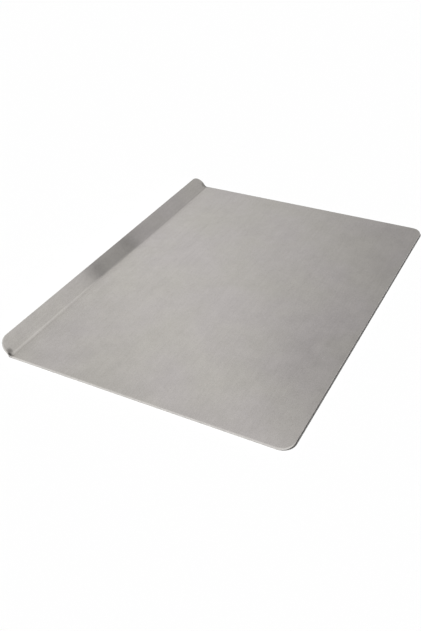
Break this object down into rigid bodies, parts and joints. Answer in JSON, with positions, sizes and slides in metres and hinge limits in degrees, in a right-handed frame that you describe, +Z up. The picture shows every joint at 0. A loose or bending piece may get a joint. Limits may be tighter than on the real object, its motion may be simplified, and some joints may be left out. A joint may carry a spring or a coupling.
{
  "type": "cookie sheet",
  "caption": "Flat baking sheet of heavy satin aluminium with rounded corners and one long side bent up as a slanted grip lip.",
  "frame": {"origin": "on the surface that the sheet rests on, under the middle of its outline", "axes": "+X from the lip across the flat part to the free long edge, +Y along the lip, +Z up out of the baking surface"},
  "size_m": [0.3102, 0.4064, 0.0164],
  "materials": {
    "satin_aluminium": "satin, brushed along the lip"
  },
  "bodies": {
    "root": {"baking_sheet": "satin_aluminium"}
  },
  "joints": []
}
